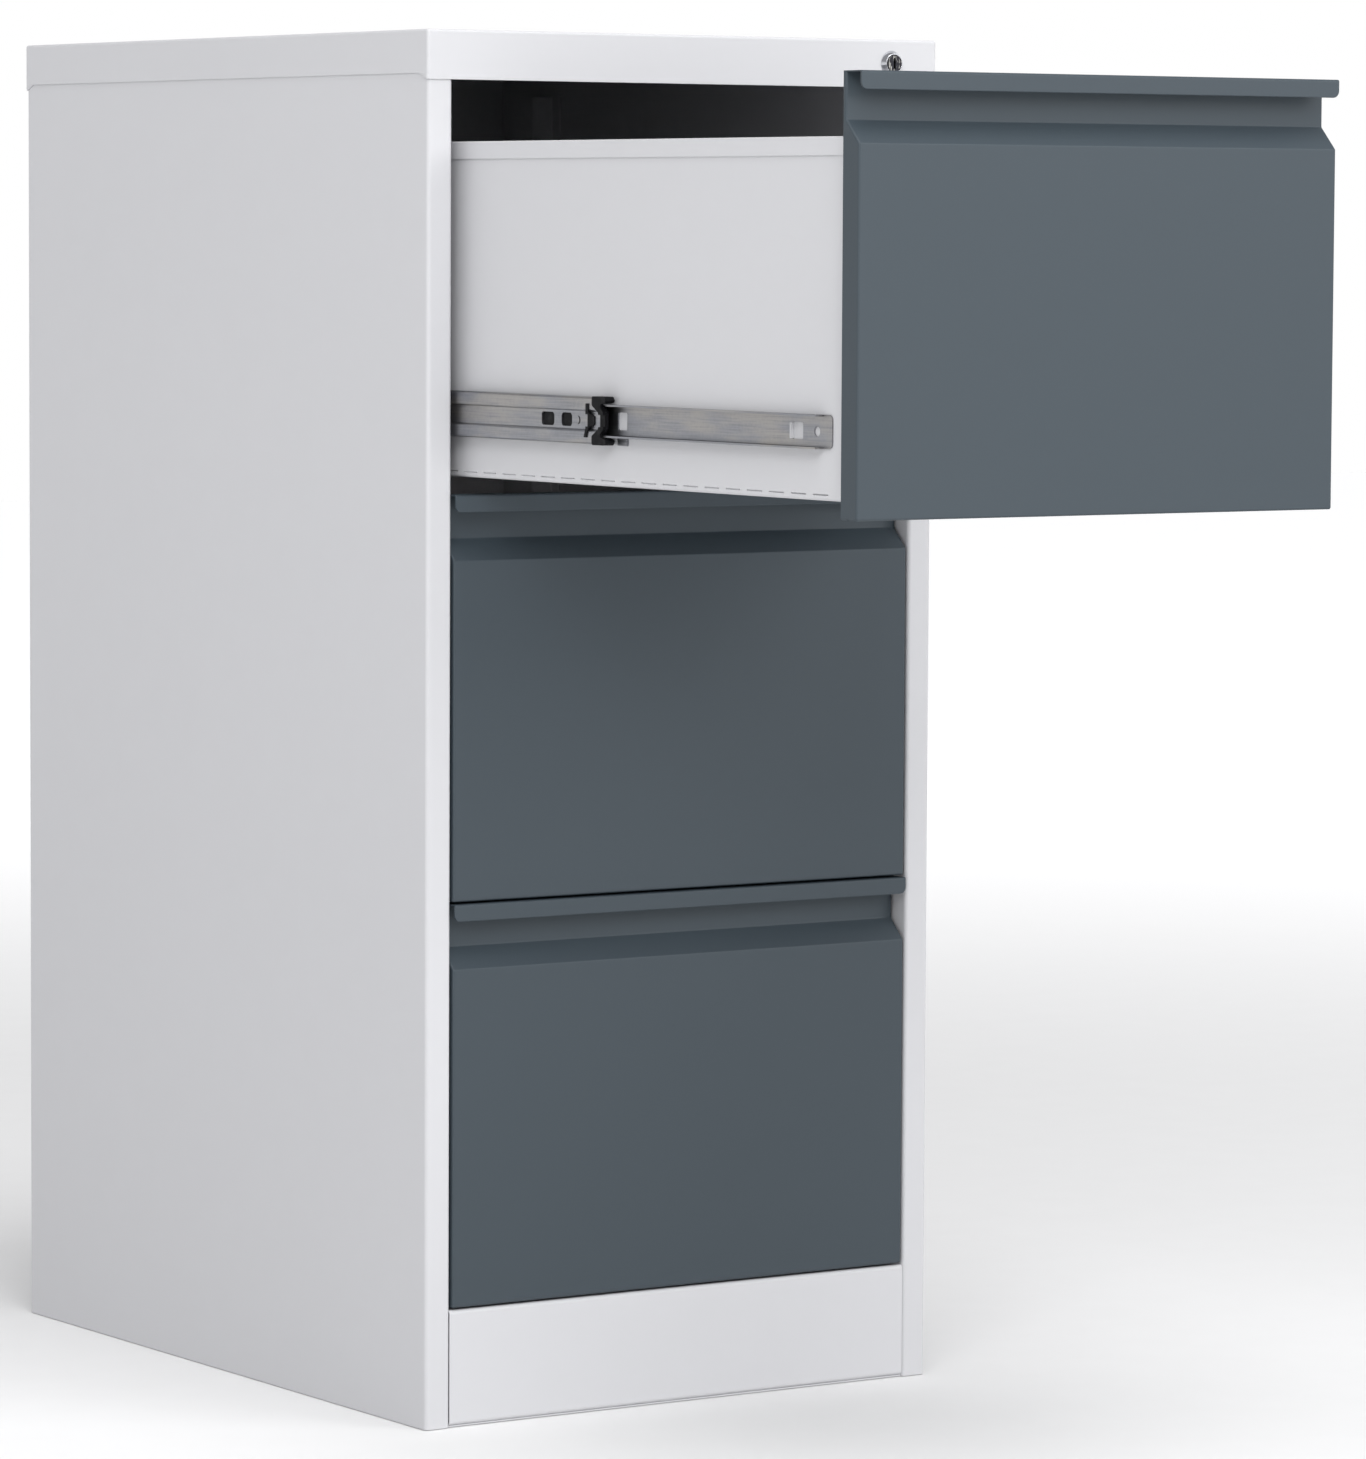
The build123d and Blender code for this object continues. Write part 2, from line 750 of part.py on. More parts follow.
def front_lip():
    """Top strip that comes forward from the recess and turns down, its edge hemmed double."""
    face = front_plane - lip_proud
    hem_back = face + 2 * skin
    foot = front_height - lip_height
    root = front_plane + recess_depth + skin
    section = outline(
        [
            (root, front_height),
            (face, front_height),
            (face, foot),
            (hem_back, foot),
            (hem_back, front_height - skin),
            (root, front_height - skin),
        ]
    )
    lip = along_x(section, -front_half, front_half)
    folds = lip.edges().filter_by(Axis.X)
    nose = [edge for edge in folds if edge.center().Y < face + skin / 2 and edge.center().Z > foot + skin]
    lip = fillet(nose, front_bend)
    lip = fillet(lip.edges().filter_by(Axis.X).group_by(Axis.Z)[0], hem_edge)
    square = block((-front_half, front_half), (face, hem_back), (foot, front_height))
    rounded = fillet(square.edges().filter_by(Axis.Y).group_by(Axis.Z)[0], lip_corner)
    return lip - (square - rounded)


def drawer_liner(bottom):
    """Inner front: a flat sheet that closes the outer front, with flanges welded inside its flanges."""
    half = front_half - skin - liner_play
    low = bottom + skin + liner_play
    knee = bottom + crease - recess_slope
    high = bottom + front_height - skin - liner_play
    tip = box_front - liner_flange
    section = fold([(half, tip), (half, box_front), (-half, box_front), (-half, tip)], skin, box_bend)
    lower = along_z(section, low, knee)
    plate_half = half - skin - box_bend
    upper = block((-plate_half, plate_half), (box_front - skin, box_front), (knee, high))
    foot = block((-plate_half, plate_half), (tip, box_front), (low, low + skin))
    return lower + upper + foot


def drawer_box(bottom):
    """Sides and floor of the drawer, one sheet bent up along two lines of slots, with a rim and a tab
    for the slider on each side."""
    low = bottom + box_lift
    high = low + box_side
    back = box_front + box_length
    points = [(-box_half, high), (-box_half, low), (box_half, low), (box_half, high)]
    box = along_y(fold(points, skin, box_bend), box_front, back)
    rim = block((box_half - skin, box_half + rim_proud), (box_front, back), (high - rim_height, high))
    rim = fillet(rim.edges().filter_by(Axis.Y).group_by(Axis.Z)[-1], skin)
    for piece in both_sides(rim):
        box += piece
    count = int((box_length - 2 * slot_end - slot_length) / slot_pitch) + 1
    through = (box_half - skin - past, box_half + past)
    height = (low + slot_lift, low + slot_lift + slot_height)
    for number in range(count):
        start = box_front + slot_end + number * slot_pitch
        for piece in both_sides(block(through, (start, start + slot_length), height)):
            box -= piece
    middle = bottom + runner_lift
    for place in rivet_places:
        box -= rod_x(slider_front + place, middle, rivet_radius, -box_half - past, box_half + past)
    reach = (box_half - skin, box_half + runner_gauge + lance_tab)
    tall = lance_height / 2 - lance_play
    for tab in both_sides(block(reach, (lance_back - skin, lance_back), (middle - tall, middle + tall))):
        box += tab
    return box


def drawer_back(bottom):
    """Rear wall, with flanges folded forward against the sides and a hem along the top."""
    half = box_half - skin - back_play
    back = box_front + box_length
    tip = back - back_flange
    low = bottom + box_lift + skin + box_bend
    high = low + back_height
    section = fold([(half, tip), (half, back), (-half, back), (-half, tip)], skin, box_bend)
    inner = half - skin - box_bend
    return along_z(section, low, high) + block((-inner, inner), (tip, back), (high - skin, high))


def drawer_rivets(bottom):
    """Rivets that hold the sliders to the drawer's sides."""
    seat = box_half + runner_gauge
    inside = box_half - skin
    rivets = []
    for place in rivet_places:
        y = slider_front + place
        z = bottom + runner_lift
        head = rod_x(y, z, rivet_head_radius, seat, seat + rivet_head_height)
        head = fillet(head.edges().sort_by(Axis.X)[-1], rivet_dome)
        rivet = head + rod_x(y, z, rivet_radius, inside, seat)
        rivets += both_sides(rivet + rod_x(y, z, rivet_tail_radius, inside - rivet_head_height, inside))
    return rivets


def drawer_catch(bottom):
    """Angle on the drawer's right side, which the lock bar's hook stands in front of."""
    face = tab_rear + catch_gap
    points = [(box_half, face + catch_base), (box_half, face), (box_half + catch_reach, face)]
    low = bottom + catch_lift
    return along_z(fold(points, catch_gauge, box_bend), low, low + catch_height)


def lock_housing():
    """Barrel through the cover's front fold and the header, with a conical bezel in front."""
    back = cover_face + barrel_length
    barrel = rod_y(lock_x, lock_z, barrel_radius, cover_face, back)
    bezel = Pos(lock_x, cover_face - bezel_height / 2, lock_z) * Rot(90, 0, 0) * Cone(
        bezel_radius, bezel_front_radius, bezel_height
    )
    bore = rod_y(lock_x, lock_z, plug_radius + plug_play, cover_face - 2 * bezel_height, back + past)
    return barrel + bezel - bore


def lock_nut():
    """Hexagon nut on the barrel, behind the header."""
    face = front_plane + skin
    hexagon = RegularPolygon(nut_width / 2, 6, major_radius=False)
    nut = Pos(lock_x, 0, lock_z) * along_y(hexagon, face, face + nut_height)
    return nut - rod_y(lock_x, lock_z, barrel_radius + barrel_play, face - past, face + nut_height + past)


def lock_plug():
    """Round plug with an upright keyway, and a square shank at its rear end for the cam."""
    front = cover_face - bezel_height - plug_proud
    plug = rod_y(lock_x, lock_z, plug_radius, front, cam_front - cam_gap)
    plug += upright_bar(cam_shank, cam_shank, cam_front - 2 * cam_gap, cam_rear)
    return plug - upright_bar(keyway_width, keyway_height, front - past, front + keyway_depth)


def upright_bar(width, height, front, rear):
    """Rectangular bar along Y, centred on the lock."""
    half = width / 2
    tall = height / 2
    return block((lock_x - half, lock_x + half), (front, rear), (lock_z - tall, lock_z + tall))


def lock_cam():
    """Disc on the plug's shank, with an eccentric pin that stands below the lock's level when unlocked."""
    cam = rod_y(lock_x, lock_z, cam_radius, cam_front, cam_rear)
    hole = cam_shank + 2 * plug_play
    cam -= upright_bar(hole, hole, cam_front - past, cam_rear + past)
    across = pin_offset * cos(radians(45))
    return cam + rod_y(lock_x + across, pin_height, pin_radius, cam_rear, tab_rear + bar_gap)


def lock_bar():
    """Flat upright bar behind the right post, which the plug's cam lifts."""
    foot = min(front_bottoms) + catch_lift - catch_step - hook_height - 2 * bar_width
    top = pin_height + flag_half_height
    return block((bar_left, bar_left + bar_width), (bar_front, bar_rear), (foot, top))


def lock_bar_tabs():
    """Plates welded on the bar's rear face: a slotted head for the cam's pin, and a hook for each drawer."""
    right = bar_left + bar_width
    thick = (bar_rear, tab_rear)
    slot_left = lock_x + pin_offset * cos(radians(45)) - pin_radius - bar_slot_end
    slot_right = lock_x + pin_offset + pin_radius + bar_slot_end
    tall = pin_radius + bar_slot_play
    through = (bar_front, tab_rear + past)
    slot = block((slot_left, slot_right), through, (pin_height - tall, pin_height + tall))
    ends = (pin_height - flag_half_height, pin_height + flag_half_height)
    head = block((slot_left - 2 * bar_gauge, right), thick, ends)
    tabs = [head - fillet(slot.edges().filter_by(Axis.Y), pin_radius)]
    for bottom in front_bottoms:
        top = bottom + catch_lift - catch_step
        tabs.append(block((bar_left - hook_reach, right), thick, (top - hook_height, top)))
    return tabs


def bar_guides():
    """Plastic clips on the side panel, with an open slot each, that the lock bar slides in."""
    left = bar_left - guide_play
    slot_right = bar_left + bar_width + guide_play
    slot = (bar_front - guide_play, bar_rear + guide_play)
    guides = []
    for bottom in front_bottoms:
        low = bottom + guide_lift
        high = low + guide_height
        guide = block((left, body_half - skin), (bar_front - guide_wall, bar_rear + guide_wall), (low, high))
        guides.append(guide - block((left - past, slot_right), slot, (low - past, high + past)))
    return guides


write("side_panel_right", [side_panel()])
write("side_panel_left", [mirror(side_panel(), about=Plane.YZ)])
write("back_panel", [back_panel()])
write("back_rivets", back_rivets())
write("top_cover", [top_cover()])
write("cover_screws", cover_screws())
write("front_header", [front_header()])
write("plinth", [plinth()])
write("bottom_panel", [bottom_panel()])
write("runner_uprights", uprights())
write("runner_screws", runner_screws())
write("lock_housing", [lock_housing()])
write("lock_nut", [lock_nut()])
write("lock_plug", [lock_plug()])
write("lock_cam", [lock_cam()])
write("lock_bar", [lock_bar()])
write("lock_bar_tabs", lock_bar_tabs())
write("lock_bar_guides", bar_guides())

for name, bottom, opening in zip(drawer_names, front_bottoms, openings):
    middle = bottom + runner_lift
    write(f"drawer_front_{name}", [drawer_front(bottom)], opening)
    write(f"drawer_liner_{name}", [drawer_liner(bottom)], opening)
    write(f"drawer_box_{name}", [drawer_box(bottom)], opening)
    write(f"drawer_back_{name}", [drawer_back(bottom)], opening)
    write(f"drawer_rivets_{name}", drawer_rivets(bottom), opening)
    write(f"drawer_catch_{name}", [drawer_catch(bottom)], opening)
    write(f"runner_channel_{name}", both_sides(runner_channel(middle)))
    write(f"runner_link_{name}", both_sides(runner_link(middle)), opening / 2)
    write(f"runner_slider_{name}", both_sides(runner_slider(middle)), opening)
    bumpers = [half for piece in runner_bumper(middle) for half in both_sides(piece)]
    write(f"runner_bumper_{name}", bumpers, opening / 2)
    write(f"outer_cages_{name}", ball_cages(outer_ball_line, outer_row_height, middle), opening / 4)
    write(f"outer_balls_{name}", balls(outer_ball_line, outer_row_height, middle), opening / 4)
    write(f"inner_cages_{name}", ball_cages(inner_ball_line, inner_row_height, middle), opening * 3 / 4)
    write(f"inner_balls_{name}", balls(inner_ball_line, inner_row_height, middle), opening * 3 / 4)
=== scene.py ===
import math

import bpy
import numpy as np
from mathutils import Matrix, Vector


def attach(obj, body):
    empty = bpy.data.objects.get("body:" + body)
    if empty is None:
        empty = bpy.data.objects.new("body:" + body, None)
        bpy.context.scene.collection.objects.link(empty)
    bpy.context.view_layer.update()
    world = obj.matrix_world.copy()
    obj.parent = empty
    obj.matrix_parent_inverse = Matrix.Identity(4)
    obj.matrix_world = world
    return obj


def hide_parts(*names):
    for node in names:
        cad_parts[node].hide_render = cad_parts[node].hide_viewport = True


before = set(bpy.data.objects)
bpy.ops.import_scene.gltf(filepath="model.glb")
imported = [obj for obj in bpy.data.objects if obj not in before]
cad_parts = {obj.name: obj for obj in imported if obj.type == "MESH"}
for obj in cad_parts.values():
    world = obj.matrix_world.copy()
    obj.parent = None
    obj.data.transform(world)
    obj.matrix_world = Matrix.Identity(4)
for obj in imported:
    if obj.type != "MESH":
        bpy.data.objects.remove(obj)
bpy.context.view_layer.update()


# Carcass: side panels, cover, plinth, header, back and bottom panels, and the uprights inside.
# All are 0.8 to 1.2 mm steel sheet, folded on a press brake and spot-welded, then sprayed with a light grey
# powder that melts into a satin coat with a fine orange peel. Lengths in this file are in metres.

CARCASS = ("side_panel_right", "side_panel_left", "back_panel", "back_rivets", "top_cover", "front_header",
           "plinth", "bottom_panel", "runner_uprights")
LIGHT_GREY = (0.562, 0.564, 0.582, 1)
LIGHT_GREY_ROUGH = 0.52
LIGHT_GREY_GLOSS = 0.25
PEEL = 0.0016  # length of one dimple of the orange peel
PEEL_DEPTH = 0.000012
SHEET_WAVE = 0.35  # length of the slow waves in a folded sheet
WAVE_DEPTH = 0.3  # depth of those waves, as a share of the peel's
MOTTLE = SHEET_WAVE / 12  # length of one patch of uneven tone
WAVE_TONE = 0.6  # share of the unevenness of tone that goes with the slow waves
TONE_SPREAD = 0.02  # how far the tone goes to either side of the colour
WAVE_ROUGH = 0.1  # how far the roughness goes with the waves
PEEL_ROUGH = 0.08  # how far it goes with the peel


class Wire:
    """A socket in a material's nodes. Arithmetic on it adds Math nodes."""

    def __init__(self, tree, socket):
        self.tree = tree
        self.socket = socket

    def node(self, kind, settings=None, sockets=None, output=0):
        """A node of that kind: its settings are set first, and then the values or links of its sockets."""
        made = self.tree.nodes.new("ShaderNode" + kind)
        for name, value in (settings or {}).items():
            setattr(made, name, value)
        for key, value in (sockets or {}).items():
            if isinstance(value, Wire):
                self.tree.links.new(value.socket, made.inputs[key])
            else:
                made.inputs[key].default_value = value
        return Wire(self.tree, made.outputs[output])

    def maths(self, operation, *values):
        return self.node("Math", {"operation": operation}, dict(enumerate(values)))

    def of(self, operation):
        """A function of this value alone, such as its square root."""
        return self.maths(operation, self)

    def __add__(self, other):
        return self.maths("ADD", self, other)

    def __radd__(self, other):
        return self.maths("ADD", other, self)

    def __sub__(self, other):
        return self.maths("SUBTRACT", self, other)

    def __rsub__(self, other):
        return self.maths("SUBTRACT", other, self)

    def __mul__(self, other):
        return self.maths("MULTIPLY", self, other)

    def __rmul__(self, other):
        return self.maths("MULTIPLY", other, self)

    def step(self, low, high):
        """0 below low, 1 above high, and smooth between them."""
        settings = {"interpolation_type": "SMOOTHSTEP"}
        return self.node("MapRange", settings, {"Value": self, "From Min": low, "From Max": high})

    def mix(self, first, second):
        """First colour where this value is 0, and second where it is 1."""
        sockets = {"Factor": self, 6: first, 7: second}
        return self.node("Mix", {"data_type": "RGBA"}, sockets, 2)

    def stretched(self, scale):
        """A point scaled by axis."""
        return self.node("Mapping", None, {"Vector": self, "Scale": scale})

    def noise(self, length, detail=2.0, roughness=0.5):
        """Noise at a point, whose lumps are about the given length."""
        sockets = {"Vector": self, "Scale": 1 / length, "Detail": detail, "Roughness": roughness}
        return self.node("TexNoise", None, sockets)

    def bump(self, depth):
        """Normal of a surface raised by this value times the depth."""
        return self.node("Bump", None, {"Height": self, "Strength": 1.0, "Distance": depth})

    def axes(self):
        """The three coordinates of a point."""
        return [self.node("SeparateXYZ", None, {"Vector": self}, index) for index in range(3)]


def material(name, build):
    """A material whose shader sockets come from build, which is given the point in object coordinates."""
    made = bpy.data.materials.new(name)
    made.use_nodes = True
    tree = made.node_tree
    tree.nodes.clear()
    start = Wire(tree, None)
    point = start.node("TexCoord", None, None, 3)
    surface = start.node("BsdfPrincipled", None, build(point))
    output = tree.nodes.new("ShaderNodeOutputMaterial")
    tree.links.new(surface.socket, output.inputs["Surface"])
    return made


def finish(coat, *names):
    """Give the material to CAD nodes, in the slots of their objects."""
    for name in names:
        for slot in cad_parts[name].material_slots:
            slot.material = coat


def toned(colour, factor):
    """A colour made lighter or darker by a factor."""
    return tuple(channel * factor for channel in colour[:3]) + (1,)


def powder_coat(colour, rough, gloss):
    """Paint with an orange peel, slow waves of gloss and a faint unevenness of tone."""

    def build(point):
        peel = point.noise(PEEL, 1.0)
        waves = point.noise(SHEET_WAVE, 2.0)
        mottle = point.noise(MOTTLE, 3.0)
        tone = waves * WAVE_TONE + mottle * (1 - WAVE_TONE)
        return {
            "Base Color": tone.mix(toned(colour, 1 - TONE_SPREAD), toned(colour, 1 + TONE_SPREAD)),
            "Roughness": rough + (waves - 0.5) * WAVE_ROUGH + (peel - 0.5) * PEEL_ROUGH,
            "Specular IOR Level": gloss,
            "Normal": (peel + waves * WAVE_DEPTH).bump(PEEL_DEPTH),
        }

    return build


light_grey = material("light_grey_powder", powder_coat(LIGHT_GREY, LIGHT_GREY_ROUGH, LIGHT_GREY_GLOSS))
finish(light_grey, *CARCASS)


# Drawers: the boxes, backs and catches are sheet in the same light grey coat, bent up along lines of slots.
# The fronts and the liners behind them are folded from other sheets, sprayed slate grey, and fixed to the
# boxes after that.

DRAWERS = ("bottom", "middle", "top")
SLATE = (0.041, 0.055, 0.067, 1)
SLATE_ROUGH = 0.5
SLATE_GLOSS = 0.35

slate = material("slate_powder", powder_coat(SLATE, SLATE_ROUGH, SLATE_GLOSS))
for row in DRAWERS:
    finish(light_grey, f"drawer_box_{row}", f"drawer_back_{row}", f"drawer_catch_{row}")
    finish(slate, f"drawer_front_{row}", f"drawer_liner_{row}")


# Ball runners: three channels of cold-rolled strip, nested in each other, with rows of steel balls between.
# They are rolled to shape, punched and zinc-plated, so the plate is streaked along the strip and clouded by
# patches of bluish and straw-coloured passivation. The screws and rivets that hold them are plated too.

COOL_ZINC = (0.308, 0.316, 0.342, 1)
WARM_ZINC = (0.372, 0.358, 0.345, 1)
DULL_ZINC = toned(COOL_ZINC, 0.66)
STREAK = 0.0011  # width of one streak
STREAK_LENGTH = 45  # times as long as it is wide
CLOUD = 0.026  # height of one patch of passivation
CLOUD_LENGTH = 4  # times as long as it is tall
CLOUD_EDGE = (0.4, 0.62)  # values of the clouds' noise between which cool zinc turns warm
CRYSTAL = 0.0028  # length of one crystal of the plate
TARNISH = (0.5, 0.35, 0.15)  # shares of the streaks, clouds and crystals in the tarnish
TARNISH_EDGE = (0.25, 0.62)  # values of the tarnish between which dull zinc turns bright
ZINC_ROUGH = 0.24
STREAK_ROUGH = 0.14
CLOUD_ROUGH = 0.1
ZINC_RELIEF = 0.000015
CRYSTAL_DEPTH = 0.3  # relief of the crystals, as a share of the streaks'


def zinc_plate(point):
    """Bright zinc over dull, streaked along Y, with long clouds that turn from cool to warm."""
    streaks = point.stretched((1, 1 / STREAK_LENGTH, 1)).noise(STREAK, 3.0)
    clouds = point.stretched((1, 1 / CLOUD_LENGTH, 1)).noise(CLOUD, 3.0, 0.6)
    crystals = point.noise(CRYSTAL, 2.0)
    tarnish = streaks * TARNISH[0] + clouds * TARNISH[1] + crystals * TARNISH[2]
    bright = clouds.step(*CLOUD_EDGE).mix(COOL_ZINC, WARM_ZINC)
    return {
        "Base Color": tarnish.step(*TARNISH_EDGE).mix(DULL_ZINC, bright),
        "Metallic": 1.0,
        "Roughness": ZINC_ROUGH + streaks * STREAK_ROUGH + clouds * CLOUD_ROUGH,
        "Normal": (streaks + crystals * CRYSTAL_DEPTH).bump(ZINC_RELIEF),
    }


zinc = material("zinc_plate", zinc_plate)
for row in DRAWERS:
    finish(zinc, f"runner_channel_{row}", f"runner_link_{row}", f"runner_slider_{row}",
           f"outer_cages_{row}", f"inner_cages_{row}", f"drawer_rivets_{row}")
finish(zinc, "runner_screws", "cover_screws")


# Balls of the runners: hardened steel, ground and tumbled bright, and greased when they are put in the cages.
# The grease leaves a thin uneven haze on them.

BALL_DARK = (0.50, 0.50, 0.51, 1)
BALL_BRIGHT = (0.60, 0.60, 0.61, 1)
GREASE = 0.001  # length of one patch of grease
BALL_ROUGH = 0.08
GREASE_ROUGH = 0.1


def ball_steel(point):
    """Bright steel, dulled in patches by the haze of grease."""
    haze = point.noise(GREASE, 2.0)
    return {
        "Base Color": haze.mix(BALL_DARK, BALL_BRIGHT),
        "Metallic": 1.0,
        "Roughness": BALL_ROUGH + haze * GREASE_ROUGH,
    }


steel = material("ball_steel", ball_steel)
for row in DRAWERS:
    finish(steel, f"outer_balls_{row}", f"inner_balls_{row}")


# Bumpers, hold-in levers and the lock bar's guides: black acetal, moulded and clipped on.
# The mould leaves a fine spark-eroded grain, and rubbing leaves it shinier in patches.

BLACK = (0.003, 0.003, 0.004, 1)
RUBBED_BLACK = (0.008, 0.008, 0.009, 1)
GRAIN = 0.0004  # length of one grain of the mould's finish
GRAIN_DEPTH = 0.00001
RUB = 0.006  # length of one rubbed patch
RUB_EDGE = (0.45, 0.7)  # values of the patches' noise between which grained turns rubbed
RUB_TONE = 0.6  # share of the tone that goes with the rubbed patches
BLACK_ROUGH = 0.5
BLACK_GLOSS = 0.12
ROUGH_SPREAD = 0.14  # how far the grain roughens and the rubbing smooths


def black_plastic(point):
    """Black with a fine grain, and shinier where it is rubbed."""
    grain = point.noise(GRAIN, 2.0)
    rubbed = point.noise(RUB, 2.0).step(*RUB_EDGE)
    return {
        "Base Color": (grain * (1 - RUB_TONE) + rubbed * RUB_TONE).mix(BLACK, RUBBED_BLACK),
        "Roughness": BLACK_ROUGH + grain * ROUGH_SPREAD - rubbed * ROUGH_SPREAD,
        "Specular IOR Level": BLACK_GLOSS,
        "Normal": grain.bump(GRAIN_DEPTH),
    }


plastic = material("black_plastic", black_plastic)
for row in DRAWERS:
    finish(plastic, f"runner_bumper_{row}")
finish(plastic, "lock_bar_guides")


# Lock's barrel: turned brass with a conical bezel, its edges broken and the whole chrome-plated.
# It goes through the cover's front fold and is held by a nut behind it.

BEZEL_ROUND = 0.000175  # where the rounding starts, from each edge
BEZEL_STEPS = 5
BEZEL_SEGMENTS = 96
FRONT_LAND = 0.0024  # how much narrower the bezel is at its front
BARREL_SHOULDER = 0.0008  # how much narrower the barrel is than the bezel
BEZEL_LENGTH = 0.004
BORE_PLAY = 0.00006
BORE_CHAMFER = 0.0004
CHROME = (0.58, 0.59, 0.62, 1)
CHROME_ROUGH = 0.06
CHROME_HAZE = 0.003  # length of one patch of haze
HAZE_ROUGH = 0.08


def extent(name):
    """Lowest and highest corners of a CAD node."""
    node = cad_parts[name]
    points = np.empty(len(node.data.vertices) * 3)
    node.data.vertices.foreach_get("co", points)
    turn = np.array(node.matrix_world.to_3x3())
    shift = np.array(node.matrix_world.translation)
    placed = points.reshape(-1, 3) @ turn.T + shift
    return placed.min(axis=0), placed.max(axis=0)


def grid_mesh(name, points, closed=False):
    """Mesh of four-sided faces through an array of points, of shape rows by columns by 3. Where it is closed,
    its last row and column join its first."""
    rows, columns = points.shape[:2]
    corner = np.arange(rows * columns).reshape(rows, columns)
    if closed:
        corner = np.pad(corner, ((0, 1), (0, 1)), mode="wrap")
    quads = np.stack([corner[:-1, :-1], corner[1:, :-1], corner[1:, 1:], corner[:-1, 1:]], axis=-1)
    mesh = bpy.data.meshes.new(name)
    mesh.from_pydata(points.reshape(-1, 3).tolist(), [], quads.reshape(-1, 4).tolist())
    mesh.polygons.foreach_set("use_smooth", np.ones(len(mesh.polygons), dtype=bool))
    piece = bpy.data.objects.new(name, mesh)
    bpy.context.scene.collection.objects.link(piece)
    return piece


def rounded(corners, start, steps):
    """Closed outline whose corners are quadratic curves: each starts and ends at one distance from its
    corner, and the corner is the control point between them."""
    before = np.roll(corners, 1, axis=0) - corners
    after = np.roll(corners, -1, axis=0) - corners
    first = corners + start * before / np.linalg.norm(before, axis=1, keepdims=True)
    last = corners + start * after / np.linalg.norm(after, axis=1, keepdims=True)
    t = np.linspace(0, 1, steps)[None, :, None]
    curve = (1 - t) ** 2 * first[:, None] + 2 * t * (1 - t) * corners[:, None] + t ** 2 * last[:, None]
    return curve.reshape(-1, 2)


def ring(name, profile, centre, segments):
    """Solid of revolution about a line along Y: x and z are the centre plus the profile's radius times the
    sine and cosine of an angle that goes once round, and y is the profile's own."""
    angle = np.linspace(0, 2 * np.pi, segments, endpoint=False)[:, None]
    radius, along = profile[:, 0][None, :], profile[:, 1][None, :]
    x = centre[0] + radius * np.sin(angle)
    z = centre[1] + radius * np.cos(angle)
    return grid_mesh(name, np.stack([x, along + 0 * angle, z], axis=-1), True)


def chrome_plate(point):
    """Bright chrome with a faint haze."""
    haze = point.noise(CHROME_HAZE, 3.0)
    return {"Base Color": CHROME, "Metallic": 1.0, "Roughness": CHROME_ROUGH + haze * HAZE_ROUGH}


housing_low, housing_high = extent("lock_housing")
plug_low, plug_high = extent("lock_plug")
lock_x = (housing_low[0] + housing_high[0]) / 2
lock_z = (housing_low[2] + housing_high[2]) / 2
bezel_radius = (housing_high[2] - housing_low[2]) / 2
bore = (plug_high[2] - plug_low[2]) / 2 + BORE_PLAY
bezel_front, barrel_back = housing_low[1], housing_high[1]
bezel_back = bezel_front + BEZEL_LENGTH
barrel_profile = np.array([
    (bore, barrel_back),
    (bore, bezel_front + BORE_CHAMFER),
    (bore + BORE_CHAMFER, bezel_front),
    (bezel_radius - FRONT_LAND, bezel_front),
    (bezel_radius, bezel_back),
    (bezel_radius - BARREL_SHOULDER, bezel_back),
    (bezel_radius - BARREL_SHOULDER, barrel_back),
])
rounded_profile = rounded(barrel_profile, BEZEL_ROUND, BEZEL_STEPS)
bezel = ring("lock_bezel", rounded_profile, (lock_x, lock_z), BEZEL_SEGMENTS)
bezel.data.materials.append(material("lock_chrome", chrome_plate))
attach(bezel, "cabinet")
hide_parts("lock_housing")


# Lock's plug and what it moves: the plug is nickel-plated brass, faced on a lathe and scratched by keys.
# Its disc is riveted on behind and lifts a flat bar with hooks, all of zinc-plated steel.

# The plug's plate colour is near black, far darker than nickel: a painted dark reflection of a dark surround.
# The scratches are bare metal.
NICKEL_PAINTED_DARK_REFLECTION = (0.04, 0.04, 0.046, 1)
SCRATCHED_NICKEL = (0.42, 0.41, 0.38, 1)
LATHE_PITCH = 0.0004  # one turn of the tool to the next
LATHE_DEPTH = 0.2  # depth of its grooves, as a share of the scratches'
SCRATCH = 0.0009  # width of one scratch
SCRATCH_LENGTH = 5  # times as long as it is wide
SCRATCH_EDGE = (0.56, 0.68)  # values of the scratches' noise between which plate turns bare
SCRATCH_DEPTH = 0.00002
NICKEL_ROUGH = 0.2
SCRATCH_ROUGH = 0.25


def plug_nickel_painted_dark_reflection(point):
    """Grooves are the sine of the distance from the plug's middle line, once for each turn of the tool."""
    x, _, z = point.axes()
    across = x - lock_x
    above = z - lock_z
    radius = (across * across + above * above).of("SQRT")
    grooves = (radius * (2 * math.pi / LATHE_PITCH)).of("SINE")
    scratches = point.stretched((1, 1, 1 / SCRATCH_LENGTH)).noise(SCRATCH, 3.0).step(*SCRATCH_EDGE)
    return {
        # Near-black plate, a painted dark reflection, with brighter bare metal in the scratches.
        "Base Color": scratches.mix(NICKEL_PAINTED_DARK_REFLECTION, SCRATCHED_NICKEL),
        "Metallic": 1.0,
        "Roughness": NICKEL_ROUGH + scratches * SCRATCH_ROUGH,
        "Normal": (grooves * LATHE_DEPTH + scratches).bump(SCRATCH_DEPTH),
    }


finish(material("plug_nickel_painted_dark_reflection", plug_nickel_painted_dark_reflection), "lock_plug")
finish(zinc, "lock_nut", "lock_cam", "lock_bar", "lock_bar_tabs")


# Floor and surround: a plain pale floor with a faint grain, which whitens away from the cabinet until it
# meets a white horizon. The surround darkens upwards, so the light comes mainly from the sides and lamps.

